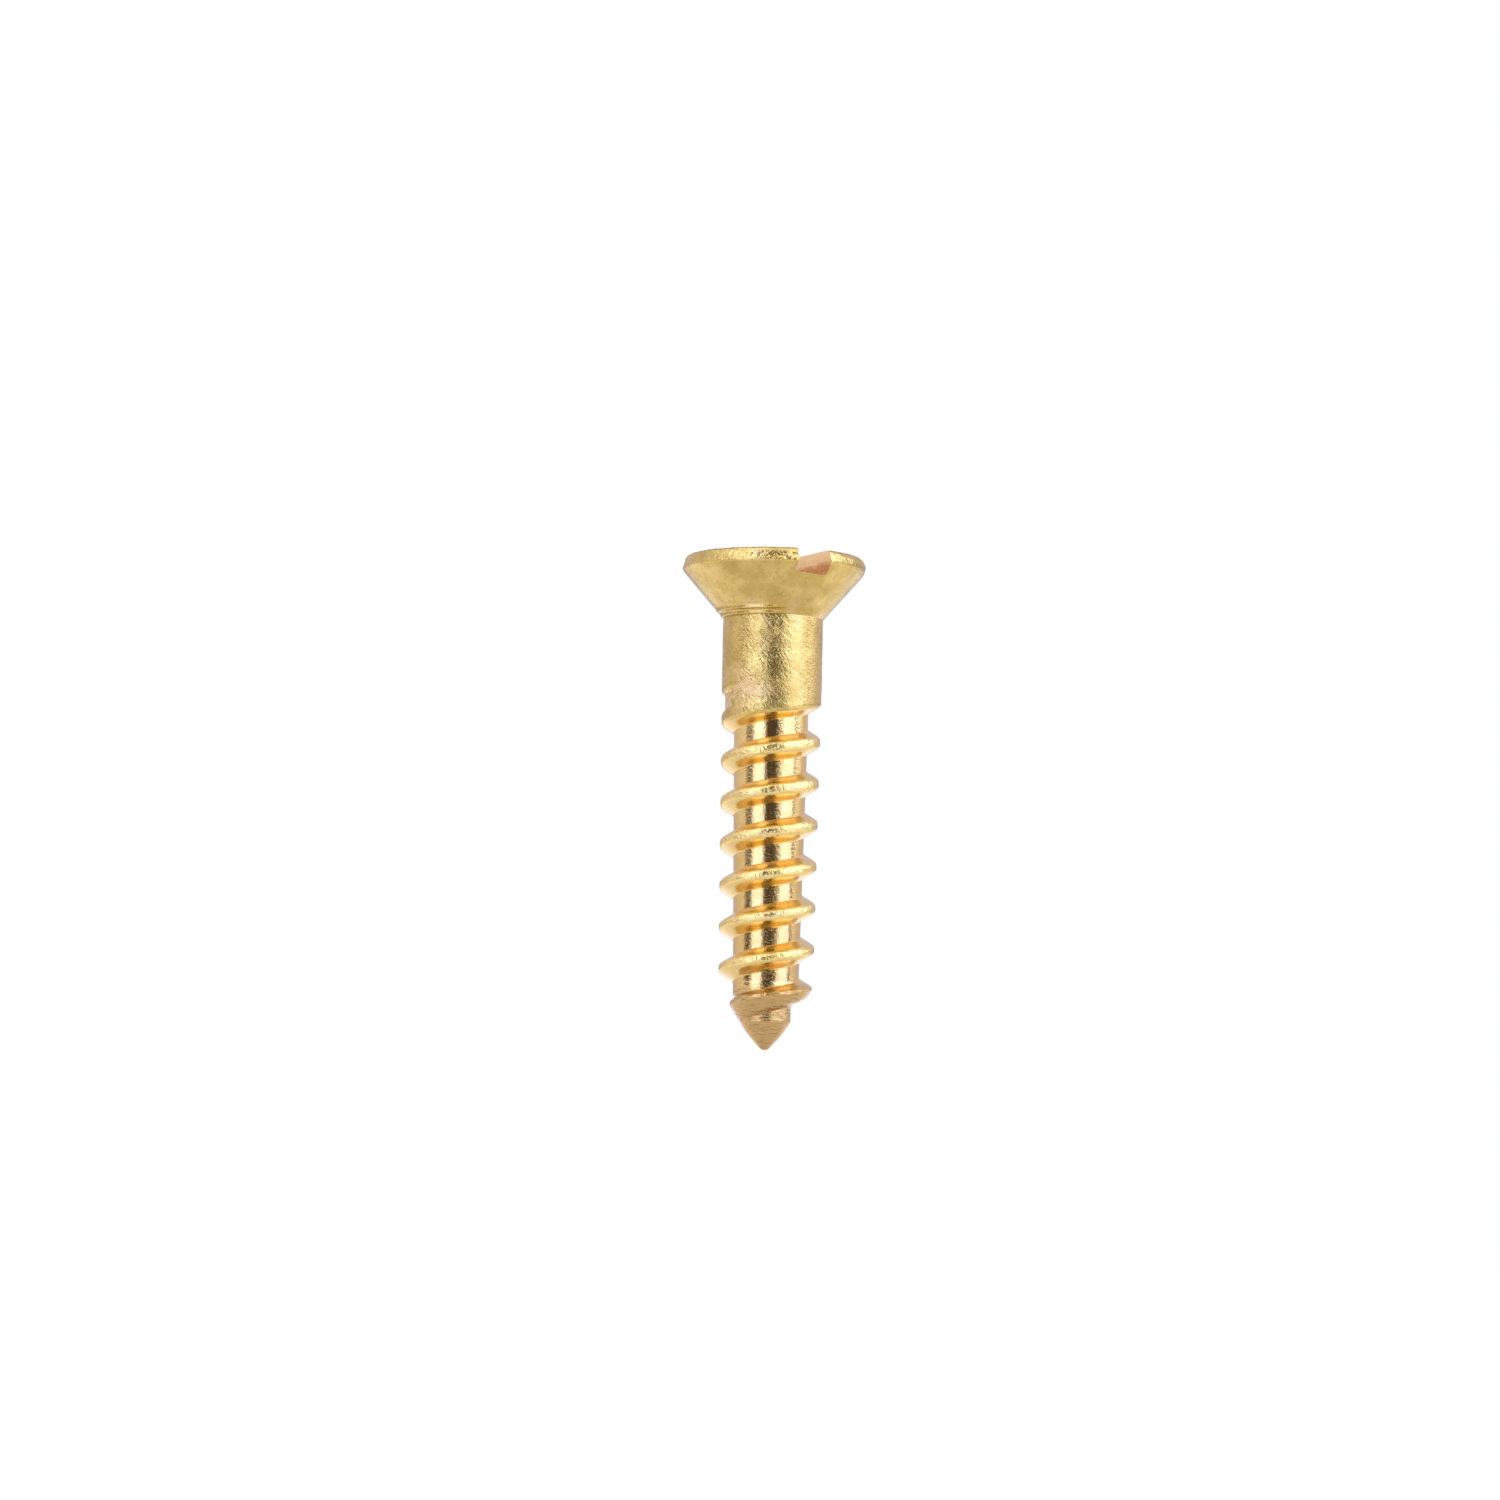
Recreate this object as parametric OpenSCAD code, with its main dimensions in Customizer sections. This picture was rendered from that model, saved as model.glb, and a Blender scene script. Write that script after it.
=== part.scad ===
// Slotted countersunk wood screw in brass, gauge 8 by 20 mm, with a cut right-hand thread.
// The origin is the centre of the head's flat top. The tip points down, along -Z.
// The screw is turned from one bar, so its nodes are the zones of one solid body: they meet
// face to face and never move on each other.

/* [Size] */
// Length from the top of the head to the tip
length = 20; // [16:0.5:32]
// Diameter of the plain shank
shank_d = 4.06; // [3.96:0.02:4.2]
// Distance from the top of the head to the end of the plain shank
plain_len = 5.1; // [4.6:0.1:7]

/* [Head] */
// Diameter of the head
head_d = 7.44; // [7:0.02:8]
// Angle across the countersunk cone
head_angle = 82; // [80:1:90]
// Height of the straight rim above the cone
rim_h = 0.58; // [0.4:0.02:0.7]
// Radius on the top edge of the rim
rim_round = 0.25; // [0.05:0.05:0.3]

/* [Driver slot] */
// Width of the slot
slot_w = 1.42; // [0.9:0.02:1.5]
// Depth of the slot
slot_depth = 0.98; // [0.7:0.02:1.2]

/* [Thread] */
// Distance from one turn to the next
pitch = 1.68; // [1.6:0.01:1.8]
// Diameter over the crests at the last full turn
crest_end_d = 3.84; // [3.76:0.02:3.92]
// Diameter of the core where the thread starts, under the shank
core_top_d = 3.06; // [2.9:0.02:3.2]
// Diameter of the core where it starts to narrow into the point
core_end_d = 2.64; // [2.5:0.02:2.8]
// Width of the flat at the bottom of the groove
root_w = 0.7; // [0.6:0.02:0.8]
// Slope of each side of the groove, measured from square to the axis
flank_angle = 30; // [20:1:32]
// Direction in which the groove first reaches its full depth, about +Z from +X
groove_start = -26.6; // [-180:0.1:180]
// Height of that place below the end of the plain shank
groove_start_drop = 1.58; // [1.5:0.02:1.9]
// Angle over which the groove fades out into the shank
run_out = 255; // [180:5:270]

/* [Point] */
// Height of the solid cone under the core
point_h = 1.15; // [1:0.05:1.3]
// Diameter of the core where it meets that cone
point_d = 2.06; // [1.9:0.02:2.3]
// Radius of the blunted tip
tip_r = 0.2; // [0.05:0.01:0.25]
// Height over which the thread's crests close in on the tip
nose_h = 2.57; // [2.37:0.05:3.02]

/* [Hidden] */

BRASS = [0.80, 0.66, 0.34];
CUT_BRASS = [0.90, 0.70, 0.38];
$fn = 96;
steps = 48;                 // facets in each turn of the thread
rows = 4;                   // edges along the groove, from its top to its bottom
edge_passes = 5;            // passes that settle where a flank meets the crest
skin = 0.002;               // a thinner thread than this counts as none
neck_shares = [0.25, 0.6];  // parts of the nose down to where the core narrows, and to its end

head_r = head_d / 2;
shank_r = shank_d / 2;
cone_end = -rim_h - (head_r - shank_r) / tan(head_angle / 2);
thread_top = -plain_len;
nose_top = -length + nose_h;
point_top = -length + point_h;
neck_top = nose_top - neck_shares[0] * (nose_top - point_top);
neck_end = nose_top - neck_shares[1] * (nose_top - point_top);
// Half angle of the solid cone, from its wall down to the tangent of the blunted tip
point_slope = atan2(point_d / 2 - tip_r / 2, point_h - tip_r / 2);
// The nose is a power curve, round at first, that meets the solid cone where the core ends
nose_power = ln(crest_end_d / point_d) / ln(nose_h / point_h);
// The thread's columns, from one turn above the faded groove down to the last of the nose
turns_up = max(run_out / 360, (groove_start_drop - root_w / 2) / pitch);
first = -ceil(steps * (1 + turns_up));
last = ceil(steps * (length - plain_len - groove_start_drop + pitch / 2) / pitch);

// Countersunk head with a rounded rim, and a straight slot across it along Y
module head() {
    color(BRASS)
    difference() {
        rotate_extrude()
            polygon([
                [0, 0],
                for (a = [90:-15:0])
                    [head_r - rim_round * (1 - cos(a)), -rim_round * (1 - sin(a))],
                [head_r, -rim_h],
                [shank_r, cone_end],
                [0, cone_end]]);
        translate([-slot_w / 2, -head_d, -slot_depth])
            cube([slot_w, 2 * head_d, 2 * slot_depth]);
    }
}

// Plain shank, a true cylinder between the head and the thread
module shank() {
    color(BRASS)
        translate([0, 0, thread_top])
            cylinder(h = cone_end - thread_top, r = shank_r);
}

// Round core that the thread stands on
module core() {
    color(CUT_BRASS)
        rotate_extrude()
            polygon([
                [0, thread_top],
                [core_top_d / 2, thread_top],
                [core_end_d / 2, neck_top],
                [point_d / 2, neck_end],
                [point_d / 2, point_top],
                [0, point_top]]);
}

// Straight change from a at height top to b at height low
function taper(z, top, low, a, b) = a + (b - a) * (top - z) / (top - low);

// Radius at height z of the bar that the thread is cut in: the shank, then the closing nose
function bar_r(z) =
    z > nose_top ? taper(z, thread_top, nose_top, shank_r, crest_end_d / 2)
    : crest_end_d / 2 * pow((z + length) / nose_h, nose_power);

// Radius of the thread's inner wall. Its facets lie round the true core and only touch it.
function wall_r(z) =
    (z > neck_top ? taper(z, thread_top, neck_top, core_top_d, core_end_d)
    : z > neck_end ? taper(z, neck_top, neck_end, core_end_d, point_d)
    : point_d) / 2 / cos(180 / steps);

// Turn angle of column i, and the height of the groove's middle there. The angle is 0 where
// the groove reaches its full depth, and columns count down towards the tip.
function turn(i) = -360 * i / steps;
function groove_z(i) = thread_top - groove_start_drop + pitch * turn(i) / 360;

// Radius of the groove's floor, which rises from the core to the bar's surface at the top
function floor_r(i, z) =
    let (rise = min(max(turn(i) / run_out, 0), 1))
    wall_r(z) + rise * (bar_r(z) - wall_r(z));

// Height that a flank takes up between the floor and the crest, above (1) or below (-1)
function flank_h(i, side, pass = edge_passes) =
    pass == 0 ? 0
    : let (z = kept(groove_z(i) + side * (root_w / 2 + flank_h(i, side, pass - 1))))
      max(bar_r(z) - floor_r(i, z), 0) * tan(flank_angle);
function kept(z) = min(max(z, point_top), thread_top);

// Height and radius of the groove's edge j: crest, floor, floor and crest, from the top down
function edge_z(i, j) = groove_z(i) + (
    j == 0 ? root_w / 2 + flank_h(i, 1)
    : j == 1 ? root_w / 2
    : j == 2 ? -root_w / 2
    : -root_w / 2 - flank_h(i, -1));
function edge_r(i, j, z) = max(j == 0 || j == 3 ? bar_r(z) : floor_r(i, z), wall_r(z));

// Point at radius r and height z, in the direction of column i
function around(i, r, z) =
    let (a = groove_start + turn(i)) [r * cos(a), r * sin(a), z];

// Helical ridge left by the groove, with the collar where the groove fades out at its top
module thread() {
    // Outer and inner ring of the flat top, and the single ring where the nose ends it
    rings = [for (i = [0:steps - 1]) each [
        around(i, shank_r, thread_top),
        around(i, wall_r(thread_top), thread_top),
        around(i, wall_r(point_top), point_top)]];
    // Height, outer radius and inner radius of each edge
    edges = [for (i = [first:last + steps]) [for (j = [0:rows - 1])
        let (z = edge_z(i, j), k = kept(z)) [z, edge_r(i, j, k), wall_r(k)]]];
    grid = [for (i = [first:last + steps]) for (e = edges[i - first])
        each [around(i, e[1], kept(e[0])), around(i, e[2], kept(e[0]))]];

    // Number of an outer (0) or inner (1) point. Edge 4 is edge 0 of one turn further down.
    // Where the thread has no thickness, the inner point is the outer one.
    function number(i, j, inner) =
        j == rows ? number(i + steps, 0, inner)
        : let (e = edges[i - first][j])
          e[0] >= thread_top ? ring_start(i) + inner
          : e[0] <= point_top ? ring_start(i) + 2
          : len(rings) + 2 * ((i - first) * rows + j) + (e[1] - e[2] < skin ? 0 : inner);
    function ring_start(i) = 3 * ((i + steps * ceil(-first / steps)) % steps);

    // Outer and inner triangle on three corners, unless they are a line or a skin without
    // thickness
    function both_sides(corners) =
        let (outer = [for (c = corners) number(c[0], c[1], 0)],
             inner = [for (c = corners) number(c[0], c[1], 1)],
             line = outer[0] == outer[1] || outer[1] == outer[2] || outer[2] == outer[0])
        line || outer == inner ? [] : [[outer[2], outer[1], outer[0]], inner];
    sides = [for (i = [first:last - 1]) for (j = [0:rows - 1])
        each concat(both_sides([[i, j], [i + 1, j], [i + 1, j + 1]]),
                    both_sides([[i, j], [i + 1, j + 1], [i, j + 1]]))];
    flat_top = [for (i = [0:steps - 1])
        let (here = ring_start(i), next = ring_start(i + 1))
        each [[here, next + 1, here + 1], [here, next, next + 1]]];

    color(BRASS)
        polyhedron(points = concat(rings, grid), faces = concat(sides, flat_top));
}

// Solid cone under the core, with a blunted tip
module point() {
    color(CUT_BRASS)
        rotate_extrude()
            polygon([
                [0, point_top],
                [point_d / 2, point_top],
                for (a = [0:15:90])
                    let (b = -point_slope - a * (90 - point_slope) / 90)
                    [tip_r * cos(b), -length + tip_r + tip_r * sin(b)]]);
}

head();
shank();
core();
thread();
point();
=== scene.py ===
import math

import bpy
import numpy as np
from mathutils import Matrix, Vector


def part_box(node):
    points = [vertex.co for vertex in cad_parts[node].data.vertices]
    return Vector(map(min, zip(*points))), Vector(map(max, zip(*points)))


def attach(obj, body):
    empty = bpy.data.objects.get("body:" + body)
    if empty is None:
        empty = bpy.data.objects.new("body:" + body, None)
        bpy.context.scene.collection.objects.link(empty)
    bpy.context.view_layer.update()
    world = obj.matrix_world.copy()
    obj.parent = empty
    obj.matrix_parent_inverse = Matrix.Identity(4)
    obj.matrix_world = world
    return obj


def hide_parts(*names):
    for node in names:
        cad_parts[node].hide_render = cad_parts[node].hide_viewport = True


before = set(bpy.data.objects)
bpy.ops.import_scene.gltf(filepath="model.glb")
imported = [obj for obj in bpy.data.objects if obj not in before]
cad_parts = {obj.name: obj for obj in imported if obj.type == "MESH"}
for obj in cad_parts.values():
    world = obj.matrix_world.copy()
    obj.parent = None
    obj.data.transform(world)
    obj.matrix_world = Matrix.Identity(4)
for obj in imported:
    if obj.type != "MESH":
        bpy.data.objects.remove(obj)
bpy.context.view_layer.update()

# ---------------------------------------------------------------- sizes, in millimetres
# Everything is drawn in millimetres and scaled to metres as its mesh is made.
MM = 0.001
TINY = 0.001                # lengths that differ by less count as the same


def box_mm(node):
    """Lowest and highest corner of a CAD node."""
    return [np.array(corner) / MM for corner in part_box(node)]


def points_mm(node):
    """Every corner point of a CAD node."""
    return np.array([v.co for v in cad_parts[node].data.vertices]) / MM


def outline(node):
    """Heights and radii of a round CAD node's rings, from the bottom up."""
    points = points_mm(node)
    heights = np.unique(points[:, 2].round(3))
    rings = [points[np.abs(points[:, 2] - z) < 2 * TINY] for z in heights]
    return heights, np.array([np.hypot(ring[:, 0], ring[:, 1]).max() for ring in rings])


def rim_size(head_r):
    """Height of the head's rim, and the radius on its top edge."""
    heights, radii = outline("head")
    rim = heights[radii > head_r - TINY]
    return -rim.min(), -rim.max()


def slot_size():
    """Width and depth of the driver slot, from the edges of the head's top and from its floor."""
    points = points_mm("head")
    beside = np.abs(points[:, 0])
    width = 2 * beside[points[:, 2] > -TINY].min()
    floor = points[beside < width / 2 - 10 * TINY, 2].max()
    return width.round(3), -floor.round(3)


HEAD_R = box_mm("head")[1][0]
CONE_END = box_mm("head")[0][2]
SHANK_R = box_mm("shank")[1][0]
THREAD_TOP = box_mm("thread")[1][2]
POINT_TOP = box_mm("point")[1][2]
TIP = box_mm("point")[0][2]
CORE_Z, CORE_R = outline("core")
POINT_R = CORE_R[0]

# Head
RIM_H, RIM_ROUND = rim_size(HEAD_R)
SLOT_W, SLOT_DEPTH = slot_size()
RIM_LEAN = 0.08             # how much narrower the rim is at its top, on its sharper side
RIM_CORNER = 0.08           # reach of the round on the rim's lower corner, on its sharper side
RIM_WORN = 0.20             # how much further that reaches on the worn side
BEADS = (0.10, 0.38)        # places of the two beads, from the shank up the cone's side
BEAD_H = 0.08
BEAD_W = 0.075
BEAD_WINDOW = 65            # degrees to each side over which the beads fade out
SLOT_CORNER = 0.08          # radius where the slot's walls meet its floor
SLOT_LEAN = 3.0             # degrees by which the saw went in askew
SAW_SPARE = 0.5             # how far the saw reaches past the head
FLAT_R = HEAD_R - 0.45      # edge of the flat top, inside the widest round on the rim

# Thread. The sizes down to FLANK are the CAD's own.
PITCH = 1.68
CREST_END_R = 1.92
GROOVE_W = 0.7              # flat floor of the groove
GROOVE_DROP = 1.58          # from the top of the thread to the groove's first full depth
GROOVE_START = -26.6        # direction of that place, in degrees from +X
RUN_OUT = 255               # angle over which the groove fades out above it
FLANK = math.tan(math.radians(30))
RUN_OFF = 4                 # how much faster the floor rises once it has left the bar
STRAY = 0.18                # how far the fading groove strays down from the helix
STRAY_TURN = 200            # angle over which it does so
EMBED = 0.02                # how far the ridge reaches into the core
CREST_ROUND = 0.13          # over how much of its height the ridge rounds off to its crest
ROOT_ROUND = 0.08           # the same where it rises from the groove's floor
THINNEST = 0.004            # a thinner ridge than this counts as none
COLLAR_LOW = THREAD_TOP - 1.45      # from here up to the next, the groove's end grows torn
COLLAR_HIGH = THREAD_TOP - 1.1

# Point
TIP_R = 0.27
NOSE_TOP = TIP + 2.57       # where the crests start to close in on the tip
POINT_BULGE = 0.06          # how far the cone's sides swell

# Directions in degrees from +X: one side of the head is sharp and the other worn
WORN_SIDE = GROOVE_START + 10
BEAD_SIDE = GROOVE_START - 132
SMOOTH_SIDE = GROOVE_START - 45     # where the bar's skin is least marked

# Depths of the marks on the metal
STREAK_DEPTH = 0.009
STREAK_STRETCH = 0.3        # the streaks' cell across them, as a share of the one along them
GRAIN_DEPTH = 0.004
WAVE_DEPTH = 0.006
NICK_DEPTH = 0.03
FINE_NICK_DEPTH = 0.010
TORN_DEPTH = 0.018
NOSE_LINE_DEPTH = 0.009
POINT_LINE_DEPTH = 0.010
PIT_DEPTH = 0.012
CHIP_DEPTH = 0.016
SAW_LINE_DEPTH = 0.004

# Points round each piece and round each turn of the thread, and rings from top to bottom
HEAD_COLUMNS = 480
SHANK_COLUMNS = 600
CORE_COLUMNS = 360
TURN_COLUMNS = 270
SHANK_ROWS = 100
CORE_ROWS = 240
CONE_ROWS = 90
TIP_ROWS = 12
SAW_ROWS = 120
# Steps down the ridge's grid: along the flank under a crest, the groove's floor, the flank
# above the next crest, and that crest
RIDGE_ROWS = (6, 10, 6, 7)
SETTLING_PASSES = 6         # passes that settle where a flank meets the crest
SHARP = 40                  # edges that turn by more degrees than this stay crisp


# ---------------------------------------------------------------- numbers
LATTICE = 64                # cells after which the noise repeats
NOISE_SHIFT = 1000.5        # puts the origin in the middle of a cell


def noise(points, cell, seed):
    """Smooth random numbers from -1 to 1, one for each point, that change over about a cell.
    Each use has a seed of its own."""
    lattice = np.random.default_rng(seed).uniform(-1, 1, (LATTICE, LATTICE, LATTICE))
    at = np.asarray(points) / cell + NOISE_SHIFT
    low = np.floor(at).astype(int)
    part = at - low
    part = part * part * (3 - 2 * part)
    total = 0
    for corner in np.ndindex(2, 2, 2):
        share = np.abs(1 - np.array(corner) - part).prod(-1)
        x, y, z = np.moveaxis((low + corner) % LATTICE, -1, 0)
        total = total + share * lattice[x, y, z]
    return total


def squeezed(points, share):
    """Points brought closer to the axis, so that noise there makes lines that run round it."""
    return points * [share, share, 1]


def smooth_step(x, low, high):
    """0 below low and 1 above high, with a smooth change between them."""
    share = np.clip((x - low) / (high - low), 0, 1)
    return share * share * (3 - 2 * share)


def soft_min(a, b, reach):
    """The smaller of a and b, with the corner between them rounded over about this reach."""
    share = np.clip(0.5 + 0.5 * (b - a) / reach, 0, 1)
    return b + (a - b) * share - reach * share * (1 - share)


def soft_max(a, b, reach):
    return -soft_min(-a, -b, reach)


def around(angle, radius, height):
    """Points at these angles in degrees, radii and heights."""
    angle, radius, height = np.broadcast_arrays(np.radians(angle), radius, height)
    return np.stack([radius * np.cos(angle), radius * np.sin(angle), height], -1)


def ring_angles(columns):
    """Angles of a ring's points, which start where the groove does and go as it goes down."""
    return GROOVE_START - 360 * np.arange(columns) / columns


def facing(angle, centre, width):
    """1 in the direction centre, fading to 0 at width degrees to each side of it."""
    away = np.abs((angle - centre + 180) % 360 - 180)
    return smooth_step(-away, -width, 0)


def blank_relief(angle, height):
    """Roughness of the bar's own skin on the shank and the crests, as a change of radius."""
    even = around(angle, SHANK_R, height)
    drawn = around(angle + np.degrees(height / SHANK_R), SHANK_R, height * STREAK_STRETCH)
    streaks = noise(drawn, 0.08, 11) * 0.55 + noise(drawn, 0.045, 12) * 0.45
    patches = smooth_step(noise(even, 0.9, 13), -0.5, 0.5)
    grain = noise(even, 0.07, 14)
    waves = noise(even, 0.6, 15)
    marked = (0.35 + 0.65 * patches) * (1 - 0.75 * facing(angle, SMOOTH_SIDE, 50))
    return STREAK_DEPTH * streaks * marked + GRAIN_DEPTH * grain + WAVE_DEPTH * waves


# ---------------------------------------------------------------- meshes
def make_piece(name, points, faces, material, attributes=None):
    """An object from points in millimetres. attributes holds a number for each point by name."""
    mesh = bpy.data.meshes.new(name)
    mesh.from_pydata((np.asarray(points) * MM).tolist(), [], faces)
    mesh.materials.append(material)
    for key, values in (attributes or {}).items():
        mesh.attributes.new(key, "FLOAT", "POINT").data.foreach_set("value", values.astype(np.float32))
    smooth(mesh)
    piece = bpy.data.objects.new(name, mesh)
    bpy.context.scene.collection.objects.link(piece)
    return piece


def smooth(mesh):
    """Smooth shading, apart from sharp edges."""
    mesh.polygons.foreach_set("use_smooth", np.ones(len(mesh.polygons), bool))
    mesh.set_sharp_from_angle(angle=math.radians(SHARP))
    mesh.update()


def lathe(rings):
    """Points and faces of a closed solid of round rings, given from the top down."""
    columns = len(rings[0])
    here = np.arange(columns)
    after = (here + 1) % columns
    faces = [here[::-1].tolist()]
    for k in range(len(rings) - 1):
        upper = k * columns
        lower = upper + columns
        quads = np.stack([upper + here, upper + after, lower + after, lower + here], -1)
        faces += quads.tolist()
    faces.append(((len(rings) - 1) * columns + here).tolist())
    return np.concatenate(rings), faces


# ---------------------------------------------------------------- thread
def core_radius(z):
    return np.interp(z, CORE_Z, CORE_R)


def bar_radius(z):
    """Radius of the bar that the thread is cut in: the shank, then the closing nose."""
    power = math.log(CREST_END_R / POINT_R) / math.log((NOSE_TOP - TIP) / (POINT_TOP - TIP))
    side = np.interp(z, [NOSE_TOP, THREAD_TOP], [CREST_END_R, SHANK_R])
    nose = CREST_END_R * (np.clip(z - TIP, 0, None) / (NOSE_TOP - TIP)) ** power
    return np.where(z > NOSE_TOP, side, nose)


def groove_middle(turn):
    """Height of the groove's middle. turn is the angle up from its first full depth."""
    return THREAD_TOP - GROOVE_DROP + PITCH * turn / 360 - STRAY * smooth_step(turn, 0, STRAY_TURN)


def floor_radius(turn, z):
    """Radius of the groove's floor, which rises from inside the core to the bar's skin, and
    then steeply away from it."""
    rise = np.clip(turn / RUN_OUT, 0, 1) + RUN_OFF * np.clip(turn / RUN_OUT - 1, 0, 1)
    inside = core_radius(z) - EMBED
    return inside + rise * (bar_radius(z) - inside)


def kept(z):
    """Heights held between the ends of the thread."""
    return np.clip(z, POINT_TOP, THREAD_TOP)


def groove_edges(turn):
    """Heights of the groove's four edges: crest, floor, floor and crest, from the top down."""
    middle = groove_middle(turn)
    half = GROOVE_W / 2 - EMBED * FLANK
    crests = []
    for side in (1, -1):
        z = middle + side * half
        for _ in range(SETTLING_PASSES):
            depth = np.maximum(bar_radius(kept(z)) - floor_radius(turn, kept(z)), 0)
            z = middle + side * (half + depth * FLANK)
        crests.append(z)
    return np.stack([crests[0], middle + half, middle - half, crests[1]], -1)


def groove_radius(turn, z):
    """Radius that the groove leaves the metal at, above and below its middle at this turn."""
    floor = floor_radius(turn, z)
    aside = np.abs(z - groove_middle(turn)) - GROOVE_W / 2 + EMBED * FLANK
    return soft_max(floor + aside / FLANK, floor, ROOT_ROUND)


def ridge_surface(turn, z):
    """Outer radius of the ridge, and how much of the bar's skin is left there, from 0 to 1."""
    angle = GROOVE_START + turn
    bar = bar_radius(z)
    cut = np.minimum(groove_radius(turn, z), groove_radius(turn - 360, z))
    spare = cut - bar
    even = around(angle, bar, z)

    edge = smooth_step(spare, -0.15, 0) * (1 - smooth_step(spare, 0, 0.25))
    fine_nicks = FINE_NICK_DEPTH * (noise(even, 0.22, 21) + 1)
    nicks = fine_nicks + NICK_DEPTH * smooth_step(noise(even, 0.13, 22), 0.45, 0.9)
    collar = smooth_step(z, COLLAR_LOW, COLLAR_HIGH)
    ragged = spare + 0.06 * noise(even, 0.12, 23) + 0.06 * collar
    skin = smooth_step(ragged, -0.06, 0) * (z > NOSE_TOP)
    torn = TORN_DEPTH * noise(even, 0.13, 24) * (1 - skin) * collar
    on_nose = smooth_step(-z, -NOSE_TOP, -NOSE_TOP + 0.3)
    lines = NOSE_LINE_DEPTH * noise(squeezed(even, 0.3), 0.06, 25) * on_nose
    relief = blank_relief(angle, z) * skin + torn + lines - nicks * edge

    outer = soft_min(cut, bar, CREST_ROUND)
    above_core = outer - core_radius(z)
    return outer + relief * smooth_step(above_core, 0, 0.05), skin


def thread_grid():
    """Column numbers of the ridge's grid, and the turn and height of each place in it."""
    turns_up = max(RUN_OUT / 360, (GROOVE_DROP + STRAY + EMBED - GROOVE_W / 2) / PITCH)
    first = -math.ceil(TURN_COLUMNS * (1 + turns_up))
    last = math.ceil(TURN_COLUMNS * ((THREAD_TOP - GROOVE_DROP - TIP) / PITCH + 0.5))
    columns = np.arange(first, last + TURN_COLUMNS + 1)
    turn = -360 * columns / TURN_COLUMNS
    edges = np.concatenate([groove_edges(turn), groove_edges(turn - 360)[:, :1]], -1)
    bands = []
    for k, rows in enumerate(RIDGE_ROWS):
        change = (edges[:, k + 1] - edges[:, k])[:, None]
        bands.append(edges[:, k:k + 1] + change * np.arange(rows) / rows)
    z = np.concatenate(bands, -1)
    return columns, turn[:, None] + 0 * z, z


def point_numbers(columns, z, thin):
    """Numbers of the outer and the inner point at each place of the grid. Three rings come
    first, the flat top's two and the nose's one, and stand for the places past the ends."""
    own = 3 * TURN_COLUMNS + np.arange(z.size).reshape(z.shape)
    top_outer = (columns % TURN_COLUMNS)[:, None] + 0 * own
    top_inner = top_outer + TURN_COLUMNS
    nose = top_inner + TURN_COLUMNS
    above = z >= THREAD_TOP
    below = z <= POINT_TOP
    outside = np.select([above, below], [top_outer, nose], own)
    inside = np.select([above, below, thin], [top_inner, nose, own], own + z.size)
    return outside, inside


def grid_triangles(number):
    """Two triangles for each square of the grid, whose last row joins one turn further on."""
    grid = np.concatenate([number[:-TURN_COLUMNS], number[TURN_COLUMNS:, :1]], -1)
    a, b, c, d = grid[:-1, :-1], grid[1:, :-1], grid[1:, 1:], grid[:-1, 1:]
    halves = [np.stack([a, b, c], -1), np.stack([a, c, d], -1)]
    return np.concatenate([half.reshape(-1, 3) for half in halves])


def lid_triangles():
    """Triangles of the flat top, between its outer and inner ring."""
    here = np.arange(TURN_COLUMNS)
    after = (here + 1) % TURN_COLUMNS
    return np.concatenate([np.stack([here, here + TURN_COLUMNS, after + TURN_COLUMNS], -1),
                           np.stack([here, after + TURN_COLUMNS, after], -1)])


def make_thread():
    """The ridge that the groove leaves, with its collar. Where it has no thickness, it has no
    faces."""
    columns, turn, z = thread_grid()
    height = kept(z)
    outer, skin = ridge_surface(turn, height)
    inner = core_radius(height) - EMBED
    outer = np.maximum(outer, inner)

    angle = GROOVE_START + turn
    even = ring_angles(TURN_COLUMNS)
    points = np.concatenate([
        around(even, SHANK_R + blank_relief(even, THREAD_TOP), THREAD_TOP),
        around(even, core_radius(THREAD_TOP) - EMBED, THREAD_TOP),
        around(even, POINT_R - EMBED, POINT_TOP),
        around(angle, outer, height).reshape(-1, 3),
        around(angle, inner, height).reshape(-1, 3)])
    skins = np.concatenate([
        np.ones(TURN_COLUMNS), np.zeros(2 * TURN_COLUMNS), skin.ravel(), np.zeros(skin.size)])

    outside, inside = point_numbers(columns, z, outer - inner < THINNEST)
    front = grid_triangles(outside)
    back = grid_triangles(inside)
    line = (front[:, 0] == front[:, 1]) | (front[:, 1] == front[:, 2]) | (front[:, 2] == front[:, 0])
    solid = ~line & (front != back).any(-1)
    faces = np.concatenate([front[solid], back[solid][:, ::-1], lid_triangles()])
    used, faces = np.unique(faces, return_inverse=True)
    faces = faces.reshape(-1, 3).tolist()
    return make_piece("thread_ridge", points[used], faces, thread_brass(), {"skin": skins[used]})


# ---------------------------------------------------------------- round pieces
def make_shank(material):
    angle = ring_angles(SHANK_COLUMNS)
    heights = np.linspace(CONE_END, THREAD_TOP, SHANK_ROWS)
    rings = [around(angle, SHANK_R + blank_relief(angle, z), z) for z in heights]
    points, faces = lathe(rings)
    return make_piece("plain_shank", points, faces, material)


def make_core():
    angle = ring_angles(CORE_COLUMNS)
    rings = []
    for z in np.linspace(THREAD_TOP, POINT_TOP, CORE_ROWS):
        even = around(angle, core_radius(z), z)
        rings.append(around(angle, core_radius(z) + 0.002 * noise(even, 0.35, 31), z))
    points, faces = lathe(rings)
    return make_piece("threaded_core", points, faces, cut_brass("core_brass", 0.10))


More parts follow.
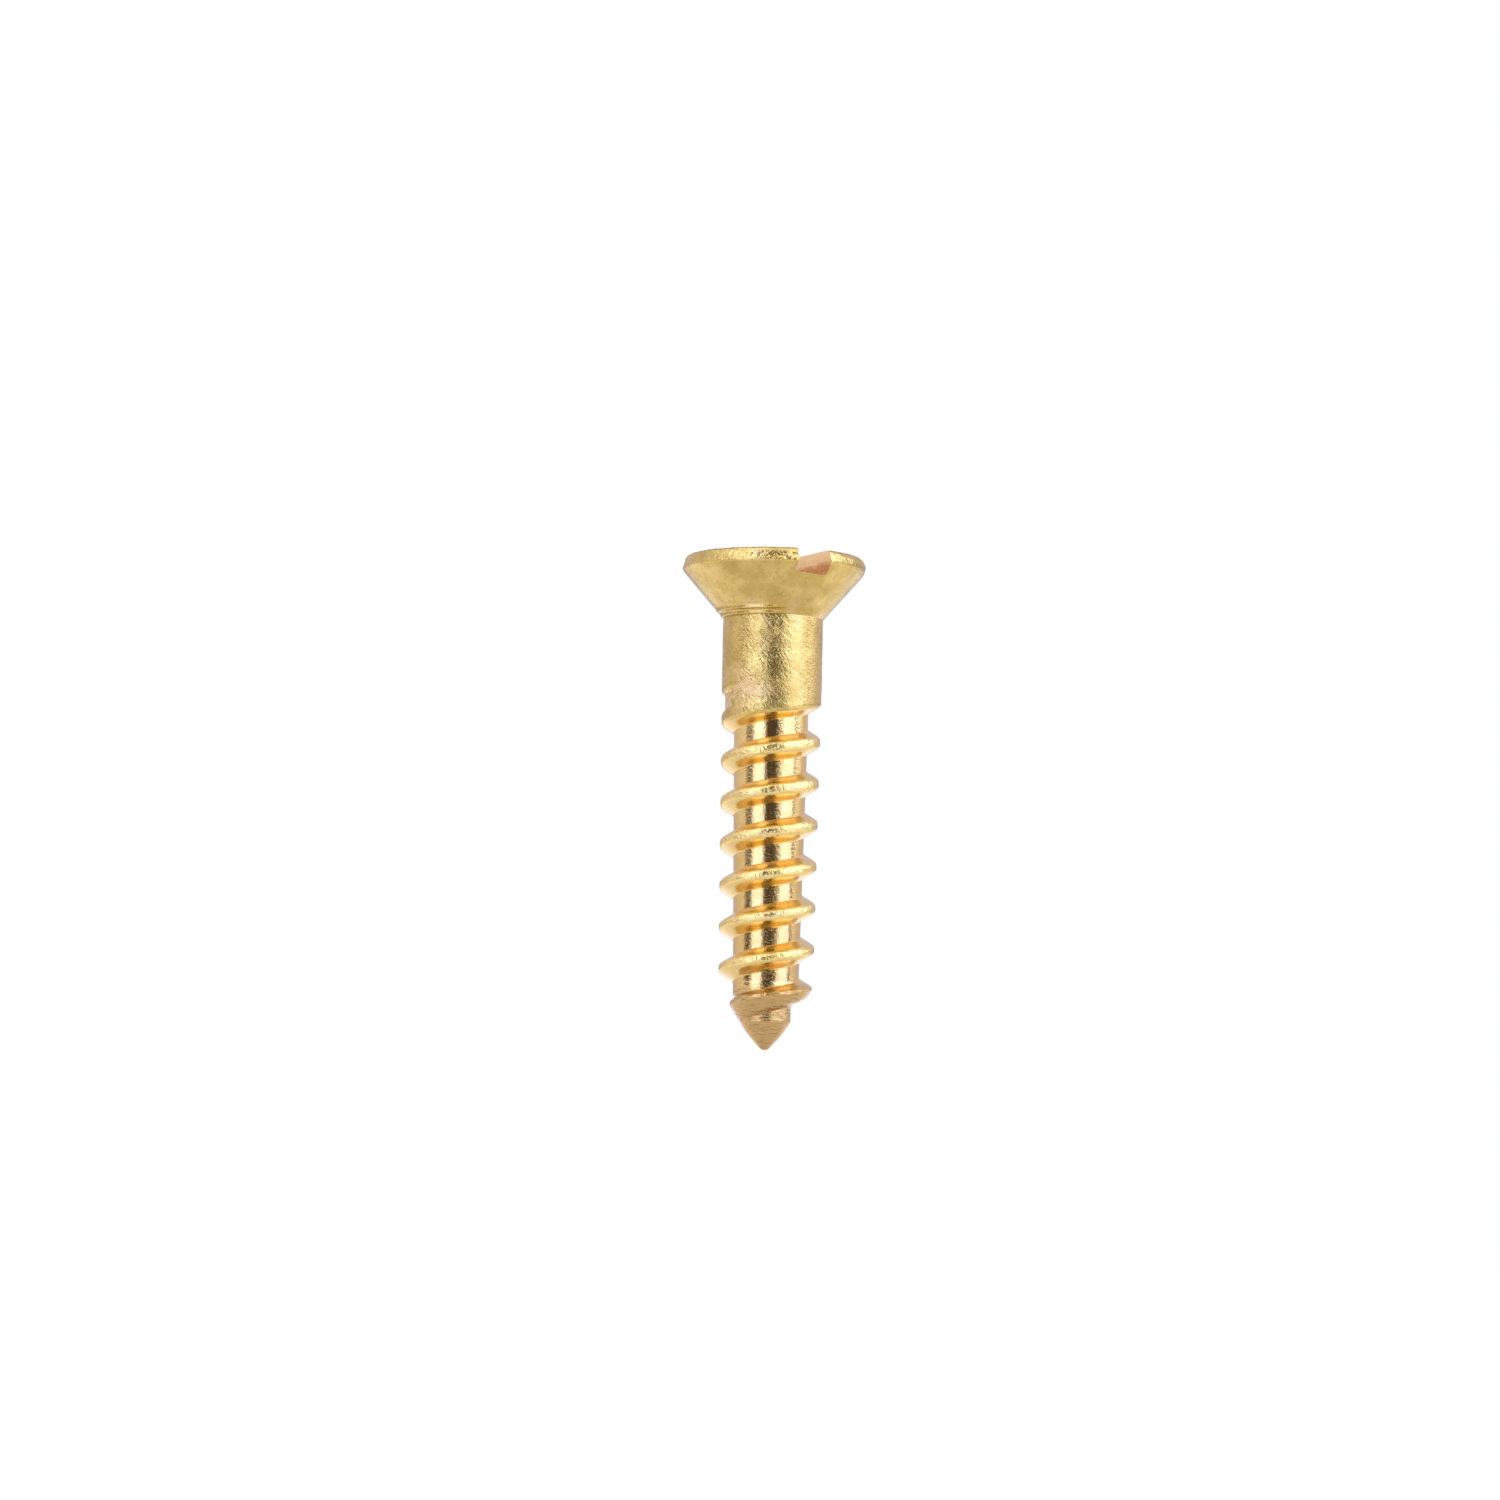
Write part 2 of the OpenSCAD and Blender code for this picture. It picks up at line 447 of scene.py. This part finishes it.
def make_point():
    """The solid cone under the core, slightly bulged, with turned rings and a blunted tip."""
    angle = ring_angles(CORE_COLUMNS)
    lean = math.atan2(POINT_R - TIP_R / 2, POINT_TOP - TIP - TIP_R / 2)
    end_r = TIP_R * math.cos(lean)
    end_z = TIP + TIP_R * (1 - math.sin(lean))
    rings = []
    for s in np.linspace(0, 1, CONE_ROWS):
        middle = math.sin(math.pi * s)
        z = POINT_TOP + (end_z - POINT_TOP) * s
        r = POINT_R + (end_r - POINT_R) * s + POINT_BULGE * middle
        even = around(angle, r, z)
        lines = noise(squeezed(even, 0.4), 0.055, 41) * POINT_LINE_DEPTH + noise(even, 0.2, 42) * WAVE_DEPTH
        rings.append(around(angle, r + lines * middle ** 0.5, z))
    for a in np.linspace(lean, math.pi / 2, TIP_ROWS)[1:-1]:
        rings.append(around(angle, TIP_R * math.cos(a), TIP + TIP_R * (1 - math.sin(a))))
    points, faces = lathe(rings)
    return make_piece("turned_point", points, faces, cut_brass("point_brass", 0.22))


# ---------------------------------------------------------------- head
def bezier(a, corner, b, t):
    """Point at share t of a rounded corner."""
    return a * (1 - t) ** 2 + 2 * corner * t * (1 - t) + b * t ** 2


def bead_height(angle, up_cone):
    """How far the two beads stand out of the cone, at this distance from the shank."""
    beads = sum(BEAD_H * math.exp(-((up_cone - place) / BEAD_W) ** 2) for place in BEADS)
    return beads * np.minimum(1, 2.5 * facing(angle, BEAD_SIDE, BEAD_WINDOW))


def head_profile(angle):
    """Rings of the head as radius and height for each angle, from the middle of the top down,
    with the direction in which roughness moves them."""
    worn = facing(angle, WORN_SIDE, 110)
    edge = around(angle, HEAD_R, 0)
    rim_round = RIM_ROUND * (1 + 0.5 * worn + 0.15 * noise(edge, 1.2, 51))
    top_r = HEAD_R - RIM_LEAN * (1 - worn)
    rings = []

    def ring(r, z, out, up):
        rings.append((r + 0 * angle, z + 0 * angle, out, up))

    # Flat top, with closer rings at its edge, then the round on that edge
    for r in np.concatenate([np.linspace(0.15, 3.2, 30), np.linspace(3.25, FLAT_R, 8)]):
        ring(r, 0, 0, 1)
    for a in np.linspace(math.pi / 2, 0, 10):
        out, up = math.cos(a), math.sin(a)
        ring(top_r - rim_round * (1 - out), -rim_round * (1 - up), out, up)
    # The rim's side, and its lower corner, sharp on one side and worn round on the other
    slant = np.array([SHANK_R - HEAD_R, CONE_END + RIM_H])
    length = np.hypot(*slant)
    slant = slant / length
    reach = RIM_CORNER + RIM_WORN * worn
    low_z = -RIM_H + reach
    for s in np.linspace(0, 1, 7)[1:]:
        ring(top_r + (HEAD_R - top_r) * s, -rim_round + (low_z + rim_round) * s, 1, 0)
    end_r, end_z = HEAD_R + slant[0] * reach, -RIM_H + slant[1] * reach
    for t in np.linspace(0, 1, 8)[1:]:
        ring(bezier(HEAD_R, HEAD_R, end_r, t), bezier(low_z, -RIM_H, end_z, t), 1 - t / 2, -t / 2)
    # Cone
    for s in np.linspace(0, 1, CONE_ROWS)[1:]:
        bead = bead_height(angle, length * (1 - s))
        r = end_r + (SHANK_R - end_r) * s - bead * slant[1]
        z = end_z + (CONE_END - end_z) * s + bead * slant[0]
        ring(r, z, -slant[1], slant[0])
    return rings


def head_relief(angle, r, z):
    """Roughness of the head: pits all over, and chips on its rim."""
    even = around(angle, r, z)
    on_rim = smooth_step(r, HEAD_R - 0.5, HEAD_R - 0.2) * smooth_step(z, -RIM_H - 0.1, -RIM_H + 0.05)
    rough = 0.003 * noise(even, 0.08, 61) + WAVE_DEPTH * noise(even, 0.7, 62)
    rough = rough - PIT_DEPTH * smooth_step(noise(even, 0.16, 63), 0.5, 0.95)
    chips = CHIP_DEPTH * noise(even, 0.11, 64) + 0.010 * noise(even, 0.28, 65)
    return rough + chips * on_rim


def make_head(material):
    """The countersunk head. Its first ring stays level, and its last is the shank's first."""
    angle = ring_angles(HEAD_COLUMNS)
    profile = head_profile(angle)
    rings = [around(angle, *profile[0][:2])]
    for r, z, out, up in profile[1:-1]:
        move = head_relief(angle, r, z)
        rings.append(around(angle, r + move * out, z + move * up))
    rings.append(around(angle, SHANK_R + blank_relief(angle, CONE_END), CONE_END))
    points, faces = lathe(rings)
    head = make_piece("countersunk_head", points, faces, material)
    cut_away(head, make_saw())
    return head


def make_saw():
    """A bar as wide as the driver slot, along Y, with its rough sides and rounded corners."""
    half = SLOT_W / 2
    wall = [(-half, z) for z in np.linspace(SAW_SPARE, -SLOT_DEPTH + SLOT_CORNER, 36)]
    bend = [(-half + SLOT_CORNER * (1 - math.cos(a)), -SLOT_DEPTH + SLOT_CORNER * (1 - math.sin(a)))
            for a in np.linspace(0, math.pi / 2, 6)[1:]]
    floor = [(x, -SLOT_DEPTH) for x in np.linspace(-half + SLOT_CORNER, 0, 12)[1:-1]]
    side = wall + bend + floor
    profile = np.array(side + [(-x, z) for x, z in reversed(side)])
    count = len(profile)
    lengths = np.linspace(-HEAD_R - SAW_SPARE, HEAD_R + SAW_SPARE, SAW_ROWS)
    points = np.array([(x, y, z) for y in lengths for x, z in profile])
    lines = noise(points * [0.6, 0.05, 1], 0.035, 71) * SAW_LINE_DEPTH + noise(points, 0.3, 72) * WAVE_DEPTH
    on_floor = points[:, 2] < -SLOT_DEPTH + 0.01
    points = points + np.stack([lines, 0 * lines, lines * on_floor], -1)
    faces = [list(range(count))]
    for k in range(SAW_ROWS - 1):
        here, after = k * count, (k + 1) * count
        for p in range(count):
            beside = (p + 1) % count
            faces.append([here + p, after + p, after + beside, here + beside])
    faces.append([(SAW_ROWS - 1) * count + p for p in reversed(range(count))])
    saw = make_piece("saw", points, faces, sawn_brass())
    saw.rotation_euler = (0, math.radians(SLOT_LEAN), 0)
    return saw


def cut_away(piece, tool):
    """Takes the tool's shape out of the piece, which keeps the tool's material on the cut."""
    cut = piece.modifiers.new("cut", "BOOLEAN")
    cut.object = tool
    cut.operation = "DIFFERENCE"
    cut.solver = "EXACT"
    cut.material_mode = "TRANSFER"
    mesh = bpy.data.meshes.new_from_object(piece.evaluated_get(bpy.context.evaluated_depsgraph_get()))
    piece.modifiers.clear()
    piece.data = mesh
    smooth(mesh)
    bpy.data.objects.remove(tool)


# ---------------------------------------------------------------- shader nodes
def add(tree, kind, inputs=None, **settings):
    """A shader node with these settings, whose inputs are numbers or other nodes' outputs."""
    node = tree.nodes.new(kind)
    for key, value in settings.items():
        setattr(node, key, value)
    for key, value in (inputs or {}).items():
        if isinstance(value, bpy.types.NodeSocket):
            tree.links.new(value, node.inputs[key])
        else:
            node.inputs[key].default_value = value
    return node


def new_material(name, metallic=1):
    """A material, its node tree, its shader and the place on the surface in millimetres."""
    material = bpy.data.materials.new(name)
    material.use_nodes = True
    tree = material.node_tree
    shader = tree.nodes["Principled BSDF"]
    shader.inputs["Metallic"].default_value = metallic
    spot = add(tree, "ShaderNodeTexCoord").outputs["Object"]
    place = add(tree, "ShaderNodeVectorMath", {0: spot, "Scale": 1 / MM}, operation="SCALE").outputs[0]
    return material, tree, shader, place


def height_of(tree, place):
    return add(tree, "ShaderNodeSeparateXYZ", {0: place}).outputs["Z"]


def texture(tree, place, cell, detail=2, stretch=(1, 1, 1), rough=0.5):
    """Cloudy noise from 0 to 1 that changes over about a cell, in millimetres."""
    scale = tuple(s / cell for s in stretch)
    moved = add(tree, "ShaderNodeVectorMath", {0: place, 1: scale}, operation="MULTIPLY").outputs[0]
    inputs = {"Vector": moved, "Scale": 1, "Detail": detail, "Roughness": rough}
    return add(tree, "ShaderNodeTexNoise", inputs).outputs["Fac"]


def math_node(tree, operation, *values):
    return add(tree, "ShaderNodeMath", dict(enumerate(values)), operation=operation).outputs[0]


def along(tree, vector, direction):
    """How far a vector reaches in a fixed direction."""
    inputs = {0: vector, 1: tuple(direction)}
    return add(tree, "ShaderNodeVectorMath", inputs, operation="DOT_PRODUCT").outputs["Value"]


def between(tree, value, low, high, start=0, end=1):
    """Turns the part of value from low to high into start to end."""
    inputs = {"Value": value, "From Min": low, "From Max": high, "To Min": start, "To Max": end}
    return add(tree, "ShaderNodeMapRange", inputs).outputs[0]


def blend(tree, share, a, b):
    """Colour a, or b where share is 1."""
    colours = {6: a, 7: b}
    colours = {k: v if isinstance(v, bpy.types.NodeSocket) else (*v, 1) for k, v in colours.items()}
    return add(tree, "ShaderNodeMix", {0: share, **colours}, data_type="RGBA").outputs[2]


def bump(tree, height, depth, normal=None):
    """Bumps of this depth in millimetres, on top of those in normal."""
    inputs = {"Height": height, "Distance": depth * MM, "Strength": 1}
    if normal is not None:
        inputs["Normal"] = normal
    return add(tree, "ShaderNodeBump", inputs).outputs[0]


# ---------------------------------------------------------------- materials
# The bar's tumbled skin
BLANK = (0.71, 0.51, 0.165)
BLANK_DARK = (0.54, 0.37, 0.10)
BLANK_STAIN = (0.46, 0.30, 0.09)
BLANK_PINK = (0.70, 0.48, 0.22)
PIT = (0.30, 0.20, 0.08)
SPECK = (0.95, 0.72, 0.33)
WORN = (0.90, 0.69, 0.27)
# Metal cut by the thread's tool, turned on the nose, and torn where the groove ends. The nose's colour is
# darker, as painted shade for its downward-facing surface, and its turned lines are painted darker still,
# as shade in their grooves.
CUT = (0.83, 0.595, 0.245)
CUT_DEEP = (0.80, 0.55, 0.19)
TURNED_WITH_PAINTED_SHADE = (0.55, 0.35, 0.135)
TURNED_LINE_PAINTED_SHADE = (0.30, 0.17, 0.06)
TORN = (0.80, 0.575, 0.30)
# The driver slot
SAWN = (0.94, 0.67, 0.34)
SAWN_DEEP = (0.72, 0.41, 0.14)


def streaks(tree, place):
    """Heights of the slanting marks on the bar below the head."""
    height = height_of(tree, place)
    wander = math_node(tree, "MULTIPLY", texture(tree, place, 0.7), 0.15)
    slant = math_node(tree, "ADD", math_node(tree, "MULTIPLY", height, 0.8 / SHANK_R), wander)
    drawn = add(tree, "ShaderNodeVectorRotate", {"Vector": place, "Angle": slant}, rotation_type="Z_AXIS")
    marks = texture(tree, drawn.outputs[0], 0.085, 2, (1, 1, 0.28), 0.6)
    patches = between(tree, texture(tree, place, 0.8), 0.35, 0.6, 0.3, 1)
    below = between(tree, height, CONE_END + 0.05, CONE_END - 0.05)
    bold = between(tree, height, THREAD_TOP - 2, THREAD_TOP - 1.5, 0.3, 1)
    side = along(tree, place, around(SMOOTH_SIDE, 1, 0))
    marked = between(tree, side, SHANK_R * 0.68, SHANK_R * 0.96, 1, 0.3)
    share = math_node(tree, "MULTIPLY", math_node(tree, "MULTIPLY", patches, below), bold)
    share = math_node(tree, "MULTIPLY", share, marked)
    return math_node(tree, "MULTIPLY", marks, share)


def flakes(tree, place):
    """Heights of the rough spots on the head's rim and on the thread's crests."""
    height = height_of(tree, place)
    above_cone = between(tree, height, -RIM_H - 0.1, -RIM_H + 0.05)
    under_top = between(tree, height, -0.01, -0.08)
    rim = math_node(tree, "MULTIPLY", above_cone, under_top)
    crests = between(tree, height, THREAD_TOP - 1.5, THREAD_TOP - 2)
    share = math_node(tree, "MAXIMUM", rim, crests)
    return math_node(tree, "MULTIPLY", texture(tree, place, 0.16, 2), share)


def skin_look(tree, place):
    """Colour, roughness and normal of the bar's tumbled skin."""
    mottle = between(tree, texture(tree, place, 0.9), 0.35, 0.65)
    stains = between(tree, texture(tree, place, 0.22), 0.47, 0.68, 0, 0.45)
    pink = between(tree, texture(tree, place, 1.7), 0.55, 0.7)
    pits = between(tree, texture(tree, place, 0.11, 1), 0.66, 0.74)
    specks = between(tree, texture(tree, place, 0.13, 2), 0.65, 0.72)
    worn = between(tree, height_of(tree, place), THREAD_TOP - 1.5, THREAD_TOP - 2, 0, 0.55)
    colour = blend(tree, mottle, BLANK_DARK, BLANK)
    colour = blend(tree, stains, colour, BLANK_STAIN)
    colour = blend(tree, pink, colour, BLANK_PINK)
    colour = blend(tree, math_node(tree, "MULTIPLY", pits, 0.25), colour, PIT)
    colour = blend(tree, math_node(tree, "MULTIPLY", specks, 0.35), colour, SPECK)
    colour = blend(tree, worn, colour, WORN)
    roughness = between(tree, texture(tree, place, 0.3), 0.3, 0.7, 0.15, 0.27)
    normal = bump(tree, texture(tree, place, 0.06, 3), 0.012)
    normal = bump(tree, pits, -0.004, normal)
    normal = bump(tree, streaks(tree, place), 0.035, normal)
    normal = bump(tree, flakes(tree, place), 0.045, normal)
    return colour, roughness, normal


def cut_look(tree, place, roughness):
    """Colour, roughness and normal of freshly cut metal, with turned lines on the nose. The nose is painted
    darker as shade, and its turned lines carry painted shade.
    """
    height = height_of(tree, place)
    nose = between(tree, height, NOSE_TOP + 0.2, NOSE_TOP - 0.3)
    lines = texture(tree, place, 0.07, 2, (0.15, 0.15, 1))
    # painted shade in the grooves of the turned lines on the nose
    line_painted_shade = math_node(tree, "MULTIPLY", between(tree, lines, 0.52, 0.7, 0, 0.6), nose)
    mottle = between(tree, texture(tree, place, 0.5), 0.35, 0.65)
    colour = blend(tree, mottle, CUT_DEEP, CUT)
    # painted shade: the downward-facing nose takes a darker colour
    colour = blend(tree, nose, colour, TURNED_WITH_PAINTED_SHADE)
    colour = blend(tree, line_painted_shade, colour, TURNED_LINE_PAINTED_SHADE)
    colour = blend(tree, between(tree, height, COLLAR_LOW + 0.05, COLLAR_HIGH), colour, TORN)
    rough = between(tree, texture(tree, place, 0.15), 0.3, 0.7, roughness * 0.8, roughness * 1.3)
    normal = bump(tree, texture(tree, place, 0.04, 2, (0.4, 0.4, 1)), 0.002)
    normal = bump(tree, texture(tree, place, 0.08, 3), 0.007, normal)
    normal = bump(tree, math_node(tree, "MULTIPLY", lines, nose), 0.055, normal)
    return colour, rough, normal


def finish_material(tree, shader, colour, roughness, normal):
    tree.links.new(colour, shader.inputs["Base Color"])
    tree.links.new(roughness, shader.inputs["Roughness"])
    tree.links.new(normal, shader.inputs["Normal"])


def skin_brass():
    """The bar's own skin, on the head and the shank."""
    material, tree, shader, place = new_material("skin_brass")
    finish_material(tree, shader, *skin_look(tree, place))
    return material


def cut_brass(name, roughness):
    material, tree, shader, place = new_material(name)
    finish_material(tree, shader, *cut_look(tree, place, roughness))
    return material


def thread_brass():
    """Cut flanks between crests that keep the bar's skin."""
    material, tree, shader, place = new_material("ridge_brass")
    skin = add(tree, "ShaderNodeAttribute", attribute_name="skin").outputs["Fac"]
    cut, raw = cut_look(tree, place, 0.13), skin_look(tree, place)
    colour = blend(tree, skin, cut[0], raw[0])
    roughness = add(tree, "ShaderNodeMix", {0: skin, 2: cut[1], 3: raw[1]}).outputs[0]
    normal = add(tree, "ShaderNodeMix", {0: skin, 4: cut[2], 5: raw[2]}, data_type="VECTOR").outputs[1]
    finish_material(tree, shader, colour, roughness, normal)
    return material


def sawn_brass():
    """Coppery walls of the driver slot, with saw marks along it. They are darker and more coppery towards
    the slot's floor.
    """
    material, tree, shader, place = new_material("sawn_brass")
    wander = between(tree, texture(tree, place, 0.4), 0, 1, -0.2, 0.2)
    ragged = math_node(tree, "ADD", height_of(tree, place), wander)
    # darker, more coppery colour towards the slot's floor, along a wandering line
    colour = blend(tree, between(tree, ragged, -0.45, -0.6), SAWN, SAWN_DEEP)
    roughness = between(tree, texture(tree, place, 0.12), 0.3, 0.7, 0.3, 0.45)
    normal = bump(tree, texture(tree, place, 0.035, 2, (1, 0.08, 1)), 0.006)
    normal = bump(tree, texture(tree, place, 0.08, 3), 0.006, normal)
    finish_material(tree, shader, colour, roughness, normal)
    return material


# ---------------------------------------------------------------- stage, in millimetres
VIEW_AZIMUTH = -26.6        # degrees; 0 looks along +Y
VIEW_DISTANCE = 155
LOOK_AT_Z = -7.87
LOOK_AT_SIDE = -0.83
CAMERA_Z = -20.45
LENS = 92
ROLL = 1.2                  # degrees by which the screw leans to the right

FLOOR_Z = -45
FLOOR_HALF = 250            # half its width
# Painted shadow: the floor's colour darkens towards the screw, from FLOOR_FAR in to this.
FLOOR_PAINTED_SHADOW = (50, (0.68, 0.655, 0.60))      # distance from the head, and the colour there
FLOOR_FAR = (85, (0.92, 0.89, 0.81))


def view_axes():
    """Directions from the screw to the right of the view and to the camera, on the level."""
    a = math.radians(VIEW_AZIMUTH)
    return np.array([math.cos(a), math.sin(a), 0]), np.array([math.sin(a), -math.cos(a), 0])


def make_camera():
    right, back = view_axes()
    target = np.array([0, 0, LOOK_AT_Z]) + right * LOOK_AT_SIDE
    place = target + back * VIEW_DISTANCE
    place[2] = CAMERA_Z
    data = bpy.data.cameras.new("camera")
    data.lens = LENS
    data.clip_start = 5 * MM
    data.clip_end = 10
    camera = bpy.data.objects.new("camera", data)
    bpy.context.scene.collection.objects.link(camera)
    camera.location = place * MM
    upright = Vector(target - place).to_track_quat("-Z", "Y").to_matrix()
    camera.rotation_euler = (upright @ Matrix.Rotation(math.radians(ROLL), 3, "Z")).to_euler()
    bpy.context.scene.camera = camera


def make_floor():
    """A pale floor with a painted shadow: its colour is darker under the screw, whose underside mirrors it.
    """
    corners = [(-1, -1), (1, -1), (1, 1), (-1, 1)]
    points = [(x * FLOOR_HALF * MM, y * FLOOR_HALF * MM, FLOOR_Z * MM) for x, y in corners]
    mesh = bpy.data.meshes.new("floor")
    mesh.from_pydata(points, [], [(0, 1, 2, 3)])
    floor = bpy.data.objects.new("floor", mesh)
    bpy.context.scene.collection.objects.link(floor)
    material, tree, shader, place = new_material("floor_white", metallic=0)
    away = add(tree, "ShaderNodeVectorMath", {0: place}, operation="LENGTH").outputs["Value"]
    # painted shadow: darker floor colour near the screw, plain pale further out
    share = between(tree, away, FLOOR_PAINTED_SHADOW[0], FLOOR_FAR[0])
    tree.links.new(blend(tree, share, FLOOR_PAINTED_SHADOW[1], FLOOR_FAR[1]), shader.inputs["Base Color"])
    shader.inputs["Roughness"].default_value = 0.9
    mesh.materials.append(material)


# ---------------------------------------------------------------- light
# Light round the screw: directions in degrees to the right of the camera, and the colour there.
# Low down and higher up, dark gaps lie beside the two soft boxes.
LOW_BOX = (1.4, 1.55, 2.5)
LOW_EDGE = (0.5, 0.4, 0.35)
HIGH_BOX = (2.1, 2.35, 3.3)
HIGH_SIDE = (1.15, 1.15, 1.4)
HIGH_FADE = (0.95, 0.92, 1.1)
FILL = (0.80, 0.75, 0.84)
BEHIND = (0.62, 0.57, 0.66)
GAP = (0.08, 0.060, 0.06)
HIGH_GAP = (0.1, 0.085, 0.08)
OVERHEAD = (1.55, 1.55, 1.55)
LOW_LIGHT = (
    (-150, BEHIND), (-110, FILL), (-86, FILL), (-79, GAP), (-59, GAP), (-51, LOW_BOX), (-20, LOW_BOX),
    (-13, GAP), (30, GAP), (35, LOW_EDGE), (42, LOW_BOX), (79, LOW_BOX), (82, GAP), (87, GAP), (91, FILL),
    (110, FILL), (150, BEHIND))
HIGH_LIGHT = (
    (-150, FILL), (-110, HIGH_FADE), (-90, HIGH_SIDE), (-60, HIGH_SIDE), (-50, HIGH_BOX), (-22, HIGH_BOX),
    (-16, HIGH_GAP), (19, HIGH_GAP), (28, HIGH_BOX), (104, HIGH_BOX), (120, FILL), (150, FILL))
HIGH_FROM = (0.075, 0.095)      # how steeply up, from 0 to 1, the low light turns to the high
OVERHEAD_FROM = (0.7, 0.9)      # and the high light to the one overhead


def ring_of_light(tree, turn, lights):
    """Colours round the screw, blended from each direction to the next."""
    ramp = add(tree, "ShaderNodeValToRGB", {0: turn})
    stops = ramp.color_ramp.elements
    for end in stops:
        end.color = (*BEHIND, 1)
    for degrees, colour in lights:
        stops.new(0.5 + degrees / 360).color = (*colour, 1)
    return ramp.outputs["Color"]


def make_world():
    """Plain white studio with two soft boxes and the dark gaps beside them."""
    world = bpy.data.worlds.new("studio")
    world.use_nodes = True
    tree = world.node_tree
    right, back = view_axes()
    ray = add(tree, "ShaderNodeTexCoord").outputs["Generated"]
    up = height_of(tree, ray)
    bearing = math_node(tree, "ARCTAN2", along(tree, ray, right), along(tree, ray, back))
    turn = between(tree, bearing, -math.pi, math.pi)
    low, high = ring_of_light(tree, turn, LOW_LIGHT), ring_of_light(tree, turn, HIGH_LIGHT)
    light = blend(tree, between(tree, up, *HIGH_FROM), low, high)
    light = blend(tree, between(tree, up, *OVERHEAD_FROM), light, OVERHEAD)
    seen = add(tree, "ShaderNodeLightPath").outputs["Is Camera Ray"]
    light = blend(tree, seen, light, (1, 1, 1))
    tree.links.new(light, tree.nodes["Background"].inputs["Color"])
    bpy.context.scene.world = world
    bpy.context.scene.view_settings.view_transform = "Standard"


# ---------------------------------------------------------------- scene
make_camera()
make_floor()
make_world()

skin_material = skin_brass()
PIECES = (
    (make_head(skin_material), "head", "blank_brass"),
    (make_shank(skin_material), "shank", "blank_brass"),
    (make_core(), "core", "cut_brass"),
    (make_thread(), "thread", "thread_brass"),
    (make_point(), "point", "cut_brass"),
)
for piece, node, slot in PIECES:
    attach(piece, "root")
    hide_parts(node)
